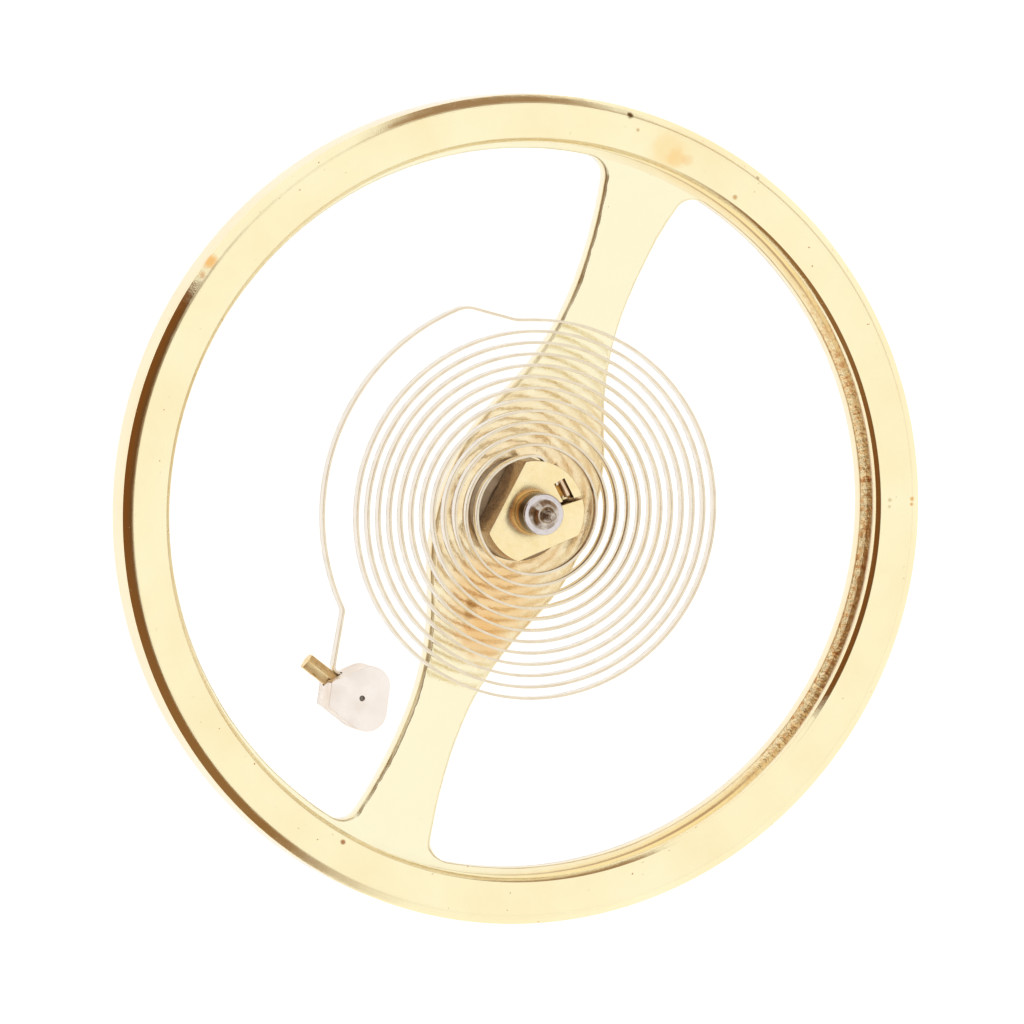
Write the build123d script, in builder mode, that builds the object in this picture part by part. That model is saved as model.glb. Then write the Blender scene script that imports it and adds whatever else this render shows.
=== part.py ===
from build123d import *
import itertools
import math
import os

os.makedirs("parts", exist_ok=True)

# Balance of a wrist watch, complete with its hairspring, in millimetres.
# The origin is the tip of the lower pivot. +Z runs up the staff, and the arms lie along Y.
# Angles are in degrees, counted in the plan from +X towards +Y.

# Clearance of a press fit, and how far a cut runs past what it cuts
FIT_GAP = 0.003
CUT_OVERRUN = 0.5

# Balance wheel: rim, ledge and arms, turned and pierced from one piece
WHEEL_R = 5.0
RIM_WIDTH = 0.57
RIM_HEIGHT = 0.65
RIM_OUTER_CHAMFER = 0.10
RIM_INNER_CHAMFER = 0.05
RIM_FOOT_CHAMFER = 0.08
LEDGE_WIDTH = 0.09
LEDGE_FILLET = 0.05
ARM_DROP = 0.38
ARM_THICKNESS = 0.20
HUB_HALF_WIDTH = 0.96
WAIST_AT = 2.75
WAIST_HALF_WIDTH = 0.345
ROOT_HALF_WIDTH = 0.556
WINDOW_FILLET = 0.25
FLANK_TURN_SHARE = 0.4425

# Balance staff, from the lower pivot up
PIVOT_R = 0.05
PIVOT_LENGTH = 0.18
PIVOT_ROUND = 0.02
LOWER_CONE_HEIGHT = 0.20
ROLLER_SEAT_R = 0.21
STAFF_BODY_R = 0.32
STAFF_BODY_HEIGHT = 0.26
FLANGE_R = 0.62
FLANGE_HEIGHT = 0.19
FLANGE_CHAMFER = 0.03
WHEEL_SEAT_R = 0.42
RIVET_LIP = 0.21
RIVET_HEIGHT = 0.05
COLLET_SEAT_R = 0.25
COLLET_SEAT_DROP = 0.08
NOSE_R = 0.245
NOSE_HEIGHT = 0.37
NOSE_ROUND = 0.03
NOSE_LAND = 0.05
UPPER_CONE_HEIGHT = 0.20

# Double roller: the table that carries the jewel, and the safety roller below it
TABLE_R = 0.68
TABLE_THICKNESS = 0.22
TABLE_CHAMFER = 0.02
ROLLER_HUB_R = 0.32
ROLLER_HUB_HEIGHT = 0.18
SAFETY_ROLLER_R = 0.34
SAFETY_ROLLER_HEIGHT = 0.28
SAFETY_ROLLER_CHAMFER = 0.015
SAFETY_ROLLER_RISE = 0.04
CRESCENT_R = 0.12
CRESCENT_DEPTH = 0.06

# Impulse jewel, and the shellac that holds it in the table
JEWEL_ANGLE = 270.0
JEWEL_ORBIT_R = 0.52
JEWEL_R = 0.11
JEWEL_FLAT_AT = 0.06
JEWEL_LENGTH = 0.53
JEWEL_STAND = 0.03
JEWEL_CHAMFER = 0.012
SHELLAC_RIM = 0.04
SHELLAC_COVER = 0.02
SHELLAC_ROUND = 0.04

# Collet: two flats, a slit, and a hole along its side that takes the hairspring
COLLET_R = 0.62
COLLET_HEIGHT = 0.60
COLLET_RISE = 0.03
COLLET_CHAMFER = 0.02
COLLET_BORE_CHAMFER = 0.03
COLLET_SLIT_WIDTH = 0.038
COLLET_SLIT_ANGLE = 38.2
COLLET_FLAT_AT = 0.39
COLLET_FLAT_ANGLE = 173.7
COLLET_SIDE_FLAT_AT = 0.47
COLLET_SIDE_FLAT_ANGLE = 313.7
COLLET_HOLE_MARGIN = 0.020
COLLET_HOLE_ROOM = 0.0565
COLLET_PIN_LENGTH = 0.42
COLLET_PIN_RECESS = 0.05
COLLET_PIN_CHAMFER = 0.010

# Hairspring: a flat strip on edge, wound outwards from the collet
SPRING_THICKNESS = 0.032
SPRING_HEIGHT = 0.15
SPRING_DEPTH = 0.08
SPRING_COLLET_GAP = 0.041
SPRING_PITCH = 0.1357
SPRING_TURNS = 12
SPRING_START_ANGLE = 111.7
SPRING_TAIL = 0.30
EXIT_BEND_R = 0.16
EXIT_BEND_TURN = 62.0

# Outer end of the hairspring: out to the regulator arc, round it, and in to the stud
RUN_OUT = 0.205
RAMP_BEND_R = 0.30
RAMP_BEND_TURN = 15.0
ELBOW_R = 0.35
REGULATOR_GAP = 0.317
REGULATOR_SWEEP = 93.0
KINK_R = 0.12
KINK_TURN = 35.0
STUD_RUN = 0.63
MOUTH_BEND_R = 0.08
MOUTH_BEND_TURN = 62.6
MOUTH_RUN = 0.30

# Stud: a three-sided prism, with two corners rounded and the third cut off
STUD_SIDE = 1.135
STUD_CORNER_R = 0.24
STUD_TIP_CUT = 0.294
STUD_HEIGHT = 0.52
STUD_FOOT = 0.19
STUD_CHAMFER = 0.02
STUD_REACH = 0.375
STUD_HOLE_MARGIN = 0.057
STUD_MARK_R = 0.035
STUD_MARK_DEPTH = 0.05

# Stud pin: six-sided, with its outer end left standing out of the stud
STUD_PIN_LENGTH = 0.94
STUD_PIN_REACH = 0.745
STUD_PIN_CHAMFER = 0.012

# Points on each bend of the hairspring in the measure of its least gap
GAP_SAMPLES = 24

# Levels up the staff
roller_seat_z = PIVOT_LENGTH + LOWER_CONE_HEIGHT
safety_roller_z = roller_seat_z + SAFETY_ROLLER_RISE
roller_hub_z = safety_roller_z + SAFETY_ROLLER_HEIGHT
table_z = roller_hub_z + ROLLER_HUB_HEIGHT
table_top_z = table_z + TABLE_THICKNESS
flange_z = table_top_z + STAFF_BODY_HEIGHT
arm_z = flange_z + FLANGE_HEIGHT
arm_top_z = arm_z + ARM_THICKNESS
rim_top_z = arm_top_z + ARM_DROP
rim_z = rim_top_z - RIM_HEIGHT
rivet_top_z = arm_top_z + RIVET_HEIGHT
collet_z = rivet_top_z + COLLET_RISE
collet_top_z = collet_z + COLLET_HEIGHT
seat_top_z = collet_top_z - COLLET_SEAT_DROP
spring_z = collet_top_z - SPRING_DEPTH
nose_top_z = collet_top_z + NOSE_HEIGHT
upper_pivot_z = nose_top_z + UPPER_CONE_HEIGHT
staff_top_z = upper_pivot_z + PIVOT_LENGTH
stud_z = spring_z - STUD_FOOT
stud_top_z = stud_z + STUD_HEIGHT


def polar(length, angle):
    """The vector of this length that points this way in the plan."""
    return Vector(length, 0).rotate(Axis.Z, angle)


def turn(vector, angle):
    """The vector turned in the plan."""
    return vector.rotate(Axis.Z, angle)


# Balance wheel
rim_inner_r = WHEEL_R - RIM_WIDTH
ledge_r = rim_inner_r - LEDGE_WIDTH
root_y = math.sqrt(ledge_r**2 - ROOT_HALF_WIDTH**2)
flank_turn_x = HUB_HALF_WIDTH + FLANK_TURN_SHARE * (WAIST_HALF_WIDTH - HUB_HALF_WIDTH)
flank_turn_y = FLANK_TURN_SHARE * WAIST_AT

with BuildSketch() as windows:
    with BuildLine():
        hub_flank = TangentArc((HUB_HALF_WIDTH, 0), (flank_turn_x, flank_turn_y), tangent=(0, 1))
        waist_flank = TangentArc(hub_flank @ 1, (WAIST_HALF_WIDTH, WAIST_AT), tangent=hub_flank % 1)
        TangentArc(waist_flank @ 1, (ROOT_HALF_WIDTH, root_y), tangent=waist_flank % 1)
        mirror(about=Plane.XZ)
        ThreePointArc((ROOT_HALF_WIDTH, -root_y), (ledge_r, 0), (ROOT_HALF_WIDTH, root_y))
    make_face()
    window_corners = windows.vertices().sort_by(Axis.Y)
    fillet([window_corners[0], window_corners[-1]], radius=WINDOW_FILLET)
    mirror(about=Plane.YZ)

with BuildPart() as balance_wheel:
    with BuildSketch(Plane.XZ) as wheel_profile:
        with BuildLine():
            Polyline(
                (WHEEL_SEAT_R + FIT_GAP, arm_z),
                (rim_inner_r, arm_z),
                (rim_inner_r, rim_z),
                (WHEEL_R - RIM_FOOT_CHAMFER, rim_z),
                (WHEEL_R, rim_z + RIM_FOOT_CHAMFER),
                (WHEEL_R, rim_top_z - RIM_OUTER_CHAMFER),
                (WHEEL_R - RIM_OUTER_CHAMFER, rim_top_z),
                (rim_inner_r + RIM_INNER_CHAMFER, rim_top_z),
                (rim_inner_r, rim_top_z - RIM_INNER_CHAMFER),
                (rim_inner_r, arm_top_z),
                (WHEEL_SEAT_R + FIT_GAP, arm_top_z),
                close=True,
            )
        make_face()
        wall_foot = wheel_profile.vertices().sort_by_distance((rim_inner_r, arm_top_z))[0]
        fillet(wall_foot, radius=LEDGE_FILLET)
    revolve(axis=Axis.Z)
    with BuildSketch(Plane.XY.offset(arm_z - CUT_OVERRUN)):
        add(windows.sketch)
    extrude(amount=ARM_THICKNESS + 2 * CUT_OVERRUN, mode=Mode.SUBTRACT)
balance_wheel.part.label = "balance_wheel"
export_step(balance_wheel.part, "parts/balance_wheel.step")

# Balance staff
nose_land_r = NOSE_R - NOSE_ROUND
cone_r = nose_land_r - NOSE_LAND

with BuildPart() as balance_staff:
    with BuildSketch(Plane.XZ):
        with BuildLine():
            Line((0, 0), (PIVOT_R - PIVOT_ROUND, 0))
            tip = JernArc((PIVOT_R - PIVOT_ROUND, 0), (1, 0), PIVOT_ROUND, 90)
            pivot = Line(tip @ 1, (PIVOT_R, PIVOT_LENGTH))
            TangentArc(pivot @ 1, (ROLLER_SEAT_R, roller_seat_z), tangent=(0, 1))
            Polyline(
                (ROLLER_SEAT_R, roller_seat_z),
                (ROLLER_SEAT_R, table_top_z),
                (STAFF_BODY_R, table_top_z),
                (STAFF_BODY_R, flange_z),
                (FLANGE_R - FLANGE_CHAMFER, flange_z),
                (FLANGE_R, flange_z + FLANGE_CHAMFER),
                (FLANGE_R, arm_z),
                (WHEEL_SEAT_R, arm_z),
                (WHEEL_SEAT_R, arm_top_z),
                (WHEEL_SEAT_R + RIVET_LIP, arm_top_z),
                (WHEEL_SEAT_R, rivet_top_z),
                (COLLET_SEAT_R, rivet_top_z),
                (COLLET_SEAT_R, seat_top_z),
                (NOSE_R, seat_top_z),
                (NOSE_R, nose_top_z - NOSE_ROUND),
            )
            shoulder = JernArc((NOSE_R, nose_top_z - NOSE_ROUND), (0, 1), NOSE_ROUND, 90)
            Line(shoulder @ 1, (cone_r, nose_top_z))
            upper_pivot = Line((PIVOT_R, upper_pivot_z), (PIVOT_R, staff_top_z - PIVOT_ROUND))
            TangentArc(upper_pivot @ 0, (cone_r, nose_top_z), tangent=(0, -1))
            upper_tip = JernArc(upper_pivot @ 1, (0, 1), PIVOT_ROUND, 90)
            Polyline(upper_tip @ 1, (0, staff_top_z), (0, 0))
        make_face()
    revolve(axis=Axis.Z)
balance_staff.part.label = "balance_staff"
export_step(balance_staff.part, "parts/balance_staff.step")

# Impulse jewel: its flat side faces away from the staff
jewel_centre = polar(JEWEL_ORBIT_R, JEWEL_ANGLE)
jewel_z = table_top_z + JEWEL_STAND - JEWEL_LENGTH


def jewel_section(level, gap):
    """The jewel's section at this level, larger all round by the gap."""
    with BuildSketch(Plane((0, 0, level), x_dir=jewel_centre)) as section:
        with Locations((JEWEL_ORBIT_R, 0)):
            Circle(JEWEL_R + gap)
        with Locations((JEWEL_ORBIT_R + JEWEL_FLAT_AT + gap, 0)):
            Rectangle(JEWEL_R, 3 * JEWEL_R, align=(Align.MIN, Align.CENTER), mode=Mode.SUBTRACT)
    return section.sketch


with BuildPart() as impulse_jewel:
    extrude(jewel_section(jewel_z, 0), amount=JEWEL_LENGTH)
    chamfer(impulse_jewel.faces().sort_by(Axis.Z)[0].edges(), length=JEWEL_CHAMFER)
impulse_jewel.part.label = "impulse_jewel"
export_step(impulse_jewel.part, "parts/impulse_jewel.step")

# Impulse roller: the table and the hub below it, pressed on the staff
with BuildPart() as impulse_roller:
    with BuildSketch(Plane.XY.offset(table_z)):
        Circle(TABLE_R)
    extrude(amount=TABLE_THICKNESS)
    chamfer(impulse_roller.edges(), length=TABLE_CHAMFER)
    with BuildSketch(Plane.XY.offset(roller_hub_z)):
        Circle(ROLLER_HUB_R)
    extrude(amount=ROLLER_HUB_HEIGHT)
    with BuildSketch(Plane.XY.offset(roller_hub_z - CUT_OVERRUN)):
        Circle(ROLLER_SEAT_R + FIT_GAP)
    extrude(amount=ROLLER_HUB_HEIGHT + TABLE_THICKNESS + 2 * CUT_OVERRUN, mode=Mode.SUBTRACT)
    extrude(
        jewel_section(table_z - CUT_OVERRUN, FIT_GAP),
        amount=TABLE_THICKNESS + 2 * CUT_OVERRUN,
        mode=Mode.SUBTRACT,
    )
impulse_roller.part.label = "impulse_roller"
export_step(impulse_roller.part, "parts/impulse_roller.step")

# Shellac: a rounded bead over the jewel's upper end
with BuildPart() as jewel_shellac:
    with BuildSketch(Plane.XY.offset(table_top_z)):
        with Locations(jewel_centre):
            Circle(JEWEL_R + SHELLAC_RIM)
    extrude(amount=JEWEL_STAND + SHELLAC_COVER)
    fillet(jewel_shellac.faces().sort_by(Axis.Z)[-1].edges(), radius=SHELLAC_ROUND)
    extrude(jewel_section(table_top_z, FIT_GAP), amount=JEWEL_STAND, mode=Mode.SUBTRACT)
jewel_shellac.part.label = "jewel_shellac"
export_step(jewel_shellac.part, "parts/jewel_shellac.step")

# Safety roller: a ring with a passing hollow in line with the jewel
crescent_centre = polar(SAFETY_ROLLER_R - CRESCENT_DEPTH + CRESCENT_R, JEWEL_ANGLE)

with BuildPart() as safety_roller:
    with BuildSketch(Plane.XY.offset(safety_roller_z)):
        Circle(SAFETY_ROLLER_R)
    extrude(amount=SAFETY_ROLLER_HEIGHT)
    chamfer(safety_roller.edges(), length=SAFETY_ROLLER_CHAMFER)
    with BuildSketch(Plane.XY.offset(safety_roller_z - CUT_OVERRUN)):
        Circle(ROLLER_SEAT_R + FIT_GAP)
        with Locations(crescent_centre):
            Circle(CRESCENT_R)
    extrude(amount=SAFETY_ROLLER_HEIGHT + 2 * CUT_OVERRUN, mode=Mode.SUBTRACT)
safety_roller.part.label = "safety_roller"
export_step(safety_roller.part, "parts/safety_roller.step")

# Places of the hairspring in its two holes: it lies to one side, and its pin fills the other
half_thickness = SPRING_THICKNESS / 2
half_height = SPRING_HEIGHT / 2


def strip_offset(hole_r):
    """How far the strip lies from the axis of a hole when its edges rest on the hole's wall."""
    return math.sqrt((hole_r - FIT_GAP) ** 2 - half_height**2) - half_thickness


collet_hole_r = half_height + COLLET_HOLE_MARGIN
stud_hole_r = half_height + STUD_HOLE_MARGIN
collet_strip_offset = strip_offset(collet_hole_r)
stud_strip_offset = strip_offset(stud_hole_r)

# Path of the hairspring, from the end inside the collet to the end inside the stud
start_r = COLLET_R + SPRING_COLLET_GAP + half_thickness
regulator_r = start_r + SPRING_TURNS * SPRING_PITCH + REGULATOR_GAP
tail_angle = SPRING_START_ANGLE + 90 - EXIT_BEND_TURN
tail_way = polar(1, tail_angle)
tail_side = polar(1, tail_angle - 90)
exit_start = polar(start_r - EXIT_BEND_R, SPRING_START_ANGLE) + tail_side * EXIT_BEND_R
spring_level = Vector(0, 0, spring_z)


def straight(before, length):
    """A straight that goes on from the piece before it."""
    return Line(before @ 1, before @ 1 + (before % 1) * length)


def bend(before, radius, angle):
    """An arc that goes on from the piece before it, to the left where the angle is positive."""
    return JernArc(before @ 1, before % 1, radius, angle)


with BuildLine() as spring_path:
    tail = Line(exit_start - tail_way * SPRING_TAIL + spring_level, exit_start + spring_level)
    coil = bend(tail, EXIT_BEND_R, EXIT_BEND_TURN)
    for half_turn in range(2 * SPRING_TURNS):
        coil = bend(coil, start_r + (half_turn + 0.5) * SPRING_PITCH / 2, 180)
    run_out = straight(coil, RUN_OUT)
    ramp_bend = bend(run_out, RAMP_BEND_R, -RAMP_BEND_TURN)
    # The ramp is as long as it takes the elbow to end in line with the regulator arc
    ramp_way = ramp_bend % 1
    elbow_from = ramp_bend @ 1 + turn(ramp_way, 90) * ELBOW_R - spring_level
    gained = elbow_from.dot(ramp_way)
    ramp_length = math.sqrt(gained**2 - elbow_from.length**2 + (regulator_r - ELBOW_R) ** 2) - gained
    elbow_centre = elbow_from + ramp_way * ramp_length
    ramp = straight(ramp_bend, ramp_length)
    elbow = bend(ramp, ELBOW_R, ramp_way.get_angle(turn(elbow_centre, 90)))
    regulator = bend(elbow, regulator_r, REGULATOR_SWEEP)
    kink = bend(regulator, KINK_R, -KINK_TURN)
    stud_run = straight(kink, STUD_RUN)
    mouth_bend = bend(stud_run, MOUTH_BEND_R, MOUTH_BEND_TURN)
    mouth = straight(mouth_bend, MOUTH_RUN)

with BuildPart() as hairspring:
    spring_wire = spring_path.wire()
    with BuildSketch(Plane(spring_wire @ 0, x_dir=(0, 0, 1), z_dir=spring_wire % 0)):
        Rectangle(SPRING_HEIGHT, SPRING_THICKNESS)
    sweep(path=spring_wire)
hairspring.part.label = "hairspring"
export_step(hairspring.part, "parts/hairspring.step")

# Collet: its hole is in line with the hairspring's inner end, and goes on past the pin to the slit
collet_hole_at = tail_side * (exit_start.dot(tail_side) + collet_strip_offset)
collet_pin_end = math.sqrt(COLLET_R**2 - collet_hole_at.length**2) - COLLET_PIN_RECESS
collet_hole_end = collet_pin_end - COLLET_PIN_LENGTH - COLLET_HOLE_ROOM
collet_hole_start = collet_hole_at + spring_level + tail_way * collet_hole_end

with BuildPart() as hairspring_collet:
    with BuildSketch(Plane.XY.offset(collet_z)):
        Circle(COLLET_R)
        with PolarLocations(COLLET_FLAT_AT, 1, start_angle=COLLET_FLAT_ANGLE):
            Rectangle(COLLET_R, 2 * COLLET_R, align=(Align.MIN, Align.CENTER), mode=Mode.SUBTRACT)
        with PolarLocations(COLLET_SIDE_FLAT_AT, 1, start_angle=COLLET_SIDE_FLAT_ANGLE):
            Rectangle(COLLET_R, 2 * COLLET_R, align=(Align.MIN, Align.CENTER), mode=Mode.SUBTRACT)
    extrude(amount=COLLET_HEIGHT)
    chamfer(hairspring_collet.faces().sort_by(Axis.Z)[-1].edges(), length=COLLET_CHAMFER)
    with BuildSketch(Plane.XY.offset(collet_z)):
        Circle(COLLET_SEAT_R + FIT_GAP)
    extrude(amount=COLLET_HEIGHT, mode=Mode.SUBTRACT)
    bore_edge = hairspring_collet.faces().sort_by(Axis.Z)[-1].inner_wires()[0].edges()
    chamfer(bore_edge, length=COLLET_BORE_CHAMFER)
    with BuildSketch(Plane.XY.offset(collet_z)):
        with PolarLocations(0, 1, start_angle=COLLET_SLIT_ANGLE):
            Rectangle(2 * COLLET_R, COLLET_SLIT_WIDTH, align=(Align.MIN, Align.CENTER))
    extrude(amount=COLLET_HEIGHT, mode=Mode.SUBTRACT)
    with BuildSketch(Plane(collet_hole_start, z_dir=tail_way)):
        Circle(collet_hole_r)
    extrude(amount=2 * COLLET_R, mode=Mode.SUBTRACT)
hairspring_collet.part.label = "hairspring_collet"
export_step(hairspring_collet.part, "parts/hairspring_collet.step")

# Collet pin: round, between the hairspring and the far wall of the hole
collet_pin_r = (collet_hole_r - FIT_GAP + collet_strip_offset - half_thickness) / 2
collet_pin_side = collet_hole_r - FIT_GAP - collet_pin_r
collet_pin_axis = collet_hole_at + tail_side * collet_pin_side + spring_level
collet_pin_start = collet_pin_axis + tail_way * (collet_pin_end - COLLET_PIN_LENGTH)

with BuildPart() as collet_pin:
    with BuildSketch(Plane(collet_pin_start, z_dir=tail_way)):
        Circle(collet_pin_r - FIT_GAP)
    extrude(amount=COLLET_PIN_LENGTH)
    chamfer(collet_pin.edges().filter_by(GeomType.CIRCLE), length=COLLET_PIN_CHAMFER)
collet_pin.part.label = "collet_pin"
export_step(collet_pin.part, "parts/collet_pin.step")

# Stud: its hole runs along one side of the prism, and the hairspring enters by the cut corner
mouth_way = mouth % 0
stud_side = turn(mouth_way, -90) * stud_strip_offset
stud_centre = mouth @ 0 + mouth_way * STUD_REACH + stud_side - spring_level
stud_plane = Plane(stud_centre, x_dir=mouth_way)

with BuildPart() as hairspring_stud:
    with BuildSketch(stud_plane.offset(stud_z)) as stud_outline:
        RegularPolygon(STUD_SIDE / math.sqrt(3), 3, rotation=90)
        fillet(stud_outline.vertices().sort_by(Axis.X)[1:], radius=STUD_CORNER_R)
        chamfer(stud_outline.vertices().sort_by(Axis.X)[0], length=STUD_TIP_CUT)
    extrude(amount=STUD_HEIGHT)
    stud_ends = hairspring_stud.faces().filter_by(Axis.Z)
    chamfer(stud_ends.edges(), length=STUD_CHAMFER)
    with BuildSketch(Plane(stud_centre + spring_level - mouth_way * STUD_SIDE, z_dir=mouth_way)):
        Circle(stud_hole_r)
    extrude(amount=2 * STUD_SIDE, mode=Mode.SUBTRACT)
    with BuildSketch(stud_plane.offset(stud_top_z - STUD_MARK_DEPTH)):
        Circle(STUD_MARK_R)
    extrude(amount=STUD_MARK_DEPTH, mode=Mode.SUBTRACT)
hairspring_stud.part.label = "hairspring_stud"
export_step(hairspring_stud.part, "parts/hairspring_stud.step")

# Stud pin: one flat lies along the hairspring, and the two far corners touch the hole's wall, so
# (2 * half_flats - room) ** 2 + half_flats ** 2 / 3 is the square of the wall's radius
stud_pin_room = stud_strip_offset - half_thickness - FIT_GAP
stud_wall_r = stud_hole_r - FIT_GAP
squares = 4 + 1 / 3
room_left = stud_wall_r**2 - stud_pin_room**2
stud_pin_half_flats = (2 * stud_pin_room + math.sqrt(4 * stud_pin_room**2 + squares * room_left)) / squares
stud_pin_side = turn(mouth_way, 90) * (stud_pin_room - stud_pin_half_flats)
stud_pin_start = stud_centre + spring_level + stud_pin_side - mouth_way * STUD_PIN_REACH
stud_pin_plane = Plane(stud_pin_start, x_dir=(0, 0, 1), z_dir=mouth_way)

with BuildPart() as stud_pin:
    with BuildSketch(stud_pin_plane):
        RegularPolygon(stud_pin_half_flats, 6, major_radius=False)
    extrude(amount=STUD_PIN_LENGTH)
    pin_ends = stud_pin.faces().sort_by_distance(stud_pin_start)
    chamfer(pin_ends[0].edges() + pin_ends[-1].edges(), length=STUD_PIN_CHAMFER)
stud_pin.part.label = "stud_pin"
export_step(stud_pin.part, "parts/stud_pin.step")


def least_gap(stretches):
    """The least clear width between two places that lie half a turn or more apart on the strip."""
    half_turn = math.pi * start_r
    places = []
    run = 0
    for stretch in stretches:
        for sample in range(GAP_SAMPLES):
            share = sample / GAP_SAMPLES
            places.append((run + share * stretch.length, stretch @ share))
        run += stretch.length
    pairs = itertools.combinations(places, 2)
    return min((b - a).length for (from_a, a), (from_b, b) in pairs if from_b - from_a > half_turn)


print("least gap of the hairspring to itself:", least_gap(spring_wire.order_edges()) - SPRING_THICKNESS)
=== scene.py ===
import math

import bmesh
import bpy
from mathutils import Matrix, Vector, noise


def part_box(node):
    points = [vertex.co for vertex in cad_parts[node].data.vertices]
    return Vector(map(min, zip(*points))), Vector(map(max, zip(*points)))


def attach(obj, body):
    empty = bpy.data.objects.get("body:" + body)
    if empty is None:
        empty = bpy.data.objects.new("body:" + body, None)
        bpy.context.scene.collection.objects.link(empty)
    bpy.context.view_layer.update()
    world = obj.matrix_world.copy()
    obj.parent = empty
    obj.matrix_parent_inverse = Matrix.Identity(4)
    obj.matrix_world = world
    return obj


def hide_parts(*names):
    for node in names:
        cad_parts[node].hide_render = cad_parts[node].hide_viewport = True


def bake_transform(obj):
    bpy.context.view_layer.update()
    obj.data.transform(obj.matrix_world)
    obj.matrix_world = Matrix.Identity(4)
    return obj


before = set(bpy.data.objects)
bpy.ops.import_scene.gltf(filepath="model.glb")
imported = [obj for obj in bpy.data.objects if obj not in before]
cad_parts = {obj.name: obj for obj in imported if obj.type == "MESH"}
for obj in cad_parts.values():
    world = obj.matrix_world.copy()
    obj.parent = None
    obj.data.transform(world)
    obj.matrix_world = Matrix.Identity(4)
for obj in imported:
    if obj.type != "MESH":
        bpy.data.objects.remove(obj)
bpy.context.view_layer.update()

# Meshes are made in millimetres, in the frame of the CAD, and scaled to metres at the end
MM = 0.001
SLACK = 0.001  # how far inside the CAD's outermost faces the pieces stay
SAME_PLACE = 1e-5  # points this near to each other are one, and this near to the axis lie on it
MITRE_LIMIT = 0.3  # a corner moves out by at most its width divided by this
CUTTER_SIDES = 96
SHARP_ANGLE = 25
UP = Vector((0, 0, 1))

# Sizes of the wheel. Its radius stays inside the box of the CAD's wheel, whose ring has many flat sides
WHEEL_R = min(abs(side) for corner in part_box("balance_wheel") for side in tuple(corner)[:2]) / MM - SLACK
RIM_INNER_R = 4.43
RIM_OUTER_CHAMFER = 0.10
RIM_INNER_CHAMFER = 0.05
RIM_FOOT_CHAMFER = 0.08
LEDGE_R = 4.34
LEDGE_FILLET = 0.045
HUB_HALF_WIDTH = 0.96
WAIST_AT = 2.75
WAIST_HALF_WIDTH = 0.345
ROOT_HALF_WIDTH = 0.556
FLANK_TURN_SHARE = 0.4425
WINDOW_FILLET = 0.25
WHEEL_BORE_R = 0.423
EDGE_ROUND = 0.008
CHAMFER_CROWN = 0.0014
CHAMFER_LEAN = 0.004
ARM_EDGE_ROUND = 0.062
LEDGE_EDGE_ROUND = 0.022

# Levels up the staff
RIM_Z = 1.48
FLANGE_Z = 1.36
ARM_Z = 1.55
ARM_TOP_Z = 1.75
RIM_TOP_Z = 2.13
RIVET_TOP_Z = 1.80
COLLET_Z = 1.83
COLLET_TOP_Z = 2.43
SPRING_Z = 2.35


def polar(length, angle):
    """The point at this distance and angle, in degrees, in the plan."""
    return Vector((length * math.cos(math.radians(angle)), length * math.sin(math.radians(angle))))


def turned(vector, angle):
    """The vector turned to the left in the plan, in degrees."""
    c, s = math.cos(math.radians(angle)), math.sin(math.radians(angle))
    return Vector((c * vector.x - s * vector.y, s * vector.x + c * vector.y))


def arc(centre, start, angle, steps):
    """Points that turn about the centre from the start by this angle, both ends included."""
    centre, reach = Vector(centre), Vector(start) - Vector(centre)
    return [centre + turned(reach, angle * step / steps) for step in range(steps + 1)]


def tangent_arc(start, way, end, steps):
    """Points from start to end that set off along way, and the way they end in."""
    start, end = Vector(start), Vector(end)
    chord = end - start
    lean = math.degrees(math.atan2(way[0] * chord.y - way[1] * chord.x, chord.dot(Vector(way))))
    radius = chord.length / (2 * math.sin(math.radians(lean)))
    centre = start + turned(Vector(way), 90) * radius
    return arc(centre, start, 2 * lean, steps), turned(Vector(way), 2 * lean), centre, abs(radius)


def rounded(corners, steps):
    """An outline whose corners, each (x, y, radius), are rounded. Radius 0 keeps the corner."""
    outline = []
    for index, (x, y, radius) in enumerate(corners):
        here = Vector((x, y))
        if radius == 0:
            outline.append(here)
            continue
        back = (Vector(corners[index - 1][:2]) - here).normalized()
        on = (Vector(corners[(index + 1) % len(corners)][:2]) - here).normalized()
        half = back.angle(on) / 2
        centre = here + (back + on).normalized() * radius / math.sin(half)
        first = here + back * radius / math.tan(half)
        side = 1 if back.x * on.y - back.y * on.x < 0 else -1
        outline += arc(centre, first, side * (180 - 2 * math.degrees(half)), steps)
    return outline


def circle(radius, steps):
    """A closed ring of points in the plan."""
    return [polar(radius, 360 * step / steps) for step in range(steps)]


def spread(ring, widths):
    """A closed ring moved to its left, each point by its own width."""
    moved = []
    for index, (here, width) in enumerate(zip(ring, widths)):
        before = (here - ring[index - 1]).normalized()
        after = (ring[(index + 1) % len(ring)] - here).normalized()
        left = turned(before + after, 90).normalized()
        moved.append(here + left * width / max(MITRE_LIMIT, left.dot(turned(after, 90))))
    return moved


def inset(ring, width):
    """A closed ring moved to its left by the width, which is inwards on a ring that turns left."""
    return spread(ring, [width] * len(ring))


def edge_steps(steps):
    """How far in, and how far off its flat face, a round edge of radius 1 is at each step."""
    leans = [math.pi / 2 * step / steps for step in range(steps + 1)]
    return [(1 - math.sin(lean), 1 - math.cos(lean)) for lean in leans]


def add_ring(mesh, ring, z):
    """The ring's points as vertices at this level."""
    return [mesh.verts.new((point.x, point.y, z)) for point in ring]


def bridge(mesh, rings):
    """Bands of faces from each ring of vertices to the next. All have as many vertices."""
    for lower, upper in zip(rings, rings[1:]):
        for index in range(len(lower)):
            on = (index + 1) % len(lower)
            corners = dict.fromkeys((lower[index], lower[on], upper[on], upper[index]))
            mesh.faces.new(tuple(corners))


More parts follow.
